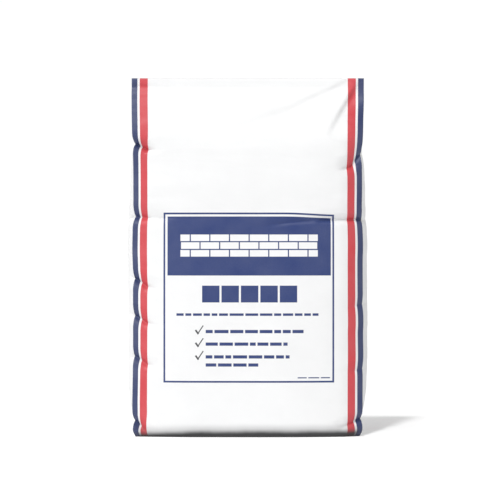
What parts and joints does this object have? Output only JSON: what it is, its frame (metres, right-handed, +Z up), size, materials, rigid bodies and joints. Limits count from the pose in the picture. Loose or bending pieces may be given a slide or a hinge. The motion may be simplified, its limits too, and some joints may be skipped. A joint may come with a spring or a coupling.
{
  "type": "cement bag",
  "caption": "Filled side-gusseted paper sack of cement, standing on its folded base, with its mouth pressed flat.",
  "frame": {"origin": "middle of the base, on the surface that the bag stands on", "axes": "+Z up from the base to the mouth, -Y out of the front panel, X across the front panel"},
  "size_m": [0.3928, 0.1318, 0.577],
  "materials": {
    "sack": "white sack paper with a slight gloss, striped in blue and red along its folds",
    "cement": "fine grey powder"
  },
  "bodies": {
    "root": {"sack": "sack", "cement": "cement"}
  },
  "joints": []
}
